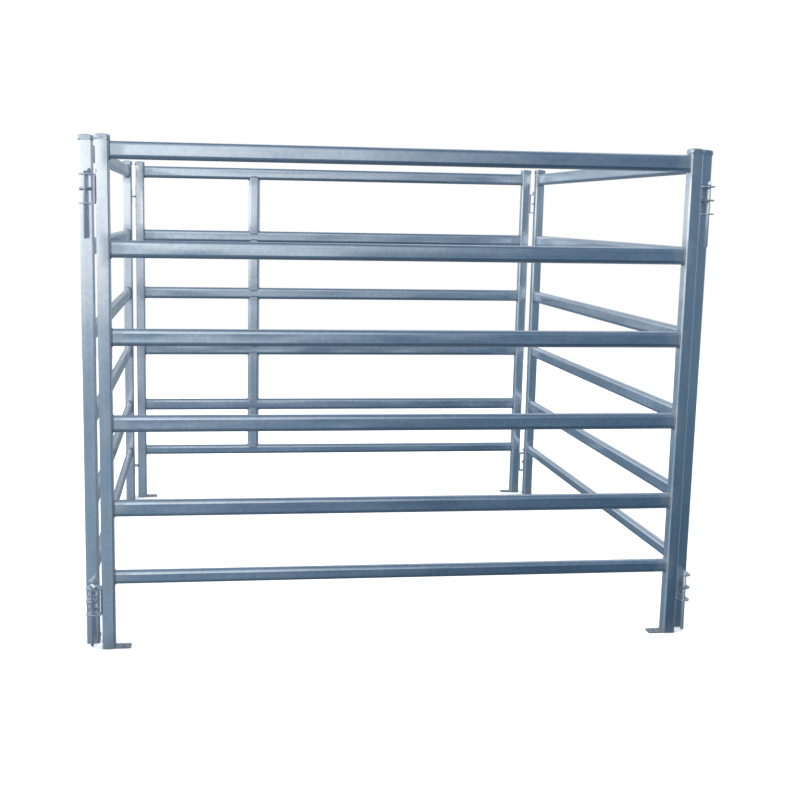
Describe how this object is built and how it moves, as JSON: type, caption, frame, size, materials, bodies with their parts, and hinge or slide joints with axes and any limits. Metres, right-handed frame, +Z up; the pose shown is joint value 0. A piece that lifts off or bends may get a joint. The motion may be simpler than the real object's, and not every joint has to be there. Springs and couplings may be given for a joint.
{
  "type": "livestock panel pen",
  "caption": "Square pen of galvanised steel livestock yard panels: square posts, horizontal oval rails, foot plates, and corner brackets joined by lift-out drop pins.",
  "frame": {"origin": "on the ground at the centre of the pen", "axes": "+Z up, +X along the front panel to the right as seen from outside, +Y from the front panel to the back panel"},
  "size_m": [2.25, 2.2905, 1.8],
  "materials": {
    "post_tube": "hot-dip galvanised, satin",
    "rail_tube": "hot-dip galvanised, satin",
    "post_cap": "galvanised pressed sheet",
    "foot_plate": "galvanised plate, worn",
    "corner_hardware": "galvanised strap, welded",
    "drop_pin": "zinc-plated round bar, rubbed bright"
  },
  "bodies": {
    "front_panel": {"front_left_post": "post_tube", "front_right_post": "post_tube", "front_rail_1": "rail_tube", "front_rail_2": "rail_tube", "front_rail_3": "rail_tube", "front_rail_4": "rail_tube", "front_rail_5": "rail_tube", "front_rail_6": "rail_tube", "front_caps": "post_cap", "front_feet": "foot_plate", "front_brackets": "corner_hardware", "front_lugs": "corner_hardware"},
    "right_panel": {"right_left_post": "post_tube", "right_right_post": "post_tube", "right_rail_1": "rail_tube", "right_rail_2": "rail_tube", "right_rail_3": "rail_tube", "right_rail_4": "rail_tube", "right_rail_5": "rail_tube", "right_rail_6": "rail_tube", "right_caps": "post_cap", "right_feet": "foot_plate", "right_brackets": "corner_hardware", "right_lugs": "corner_hardware"},
    "back_panel": {"back_left_post": "post_tube", "back_right_post": "post_tube", "back_rail_1": "rail_tube", "back_rail_2": "rail_tube", "back_rail_3": "rail_tube", "back_rail_4": "rail_tube", "back_rail_5": "rail_tube", "back_rail_6": "rail_tube", "back_caps": "post_cap", "back_feet": "foot_plate", "back_brackets": "corner_hardware", "back_lugs": "corner_hardware", "back_stay": "rail_tube"},
    "left_panel": {"left_left_post": "post_tube", "left_right_post": "post_tube", "left_rail_1": "rail_tube", "left_rail_2": "rail_tube", "left_rail_3": "rail_tube", "left_rail_4": "rail_tube", "left_rail_5": "rail_tube", "left_rail_6": "rail_tube", "left_caps": "post_cap", "left_feet": "foot_plate", "left_brackets": "corner_hardware", "left_lugs": "corner_hardware"},
    "front_upper_pin": {"front_upper_pin": "drop_pin"},
    "front_lower_pin": {"front_lower_pin": "drop_pin"},
    "right_upper_pin": {"right_upper_pin": "drop_pin"},
    "right_lower_pin": {"right_lower_pin": "drop_pin"},
    "back_upper_pin": {"back_upper_pin": "drop_pin"},
    "back_lower_pin": {"back_lower_pin": "drop_pin"},
    "left_upper_pin": {"left_upper_pin": "drop_pin"},
    "left_lower_pin": {"left_lower_pin": "drop_pin"}
  },
  "joints": [
    {"name": "left_panel_swing", "type": "hinge", "parent": "front_panel", "child": "left_panel", "pos_m": [-1.1, -1.1, 0.9], "axis": [0, 0, 1], "range_deg": [-25, 25]},
    {"name": "right_panel_swing", "type": "hinge", "parent": "front_panel", "child": "right_panel", "pos_m": [1.1, -1.1, 0.9], "axis": [0, 0, 1], "range_deg": [-25, 25]},
    {"name": "back_panel_swing", "type": "hinge", "parent": "left_panel", "child": "back_panel", "pos_m": [-1.1, 1.1, 0.9], "axis": [0, 0, 1], "range_deg": [-25, 25]},
    {"name": "front_upper_pin_lift", "type": "slide", "parent": "front_panel", "child": "front_upper_pin", "axis": [0, 0, 1], "range_m": [0, 0.215]},
    {"name": "front_lower_pin_lift", "type": "slide", "parent": "front_panel", "child": "front_lower_pin", "axis": [0, 0, 1], "range_m": [0, 0.215]},
    {"name": "right_upper_pin_lift", "type": "slide", "parent": "right_panel", "child": "right_upper_pin", "axis": [0, 0, 1], "range_m": [0, 0.215]},
    {"name": "right_lower_pin_lift", "type": "slide", "parent": "right_panel", "child": "right_lower_pin", "axis": [0, 0, 1], "range_m": [0, 0.215]},
    {"name": "back_upper_pin_lift", "type": "slide", "parent": "back_panel", "child": "back_upper_pin", "axis": [0, 0, 1], "range_m": [0, 0.215]},
    {"name": "back_lower_pin_lift", "type": "slide", "parent": "back_panel", "child": "back_lower_pin", "axis": [0, 0, 1], "range_m": [0, 0.215]},
    {"name": "left_upper_pin_lift", "type": "slide", "parent": "left_panel", "child": "left_upper_pin", "axis": [0, 0, 1], "range_m": [0, 0.215]},
    {"name": "left_lower_pin_lift", "type": "slide", "parent": "left_panel", "child": "left_lower_pin", "axis": [0, 0, 1], "range_m": [0, 0.215]}
  ],
  "couplings": [
    {"joint": "right_panel_swing", "follows": "left_panel_swing", "ratio": 1},
    {"joint": "back_panel_swing", "follows": "left_panel_swing", "ratio": -1}
  ]
}
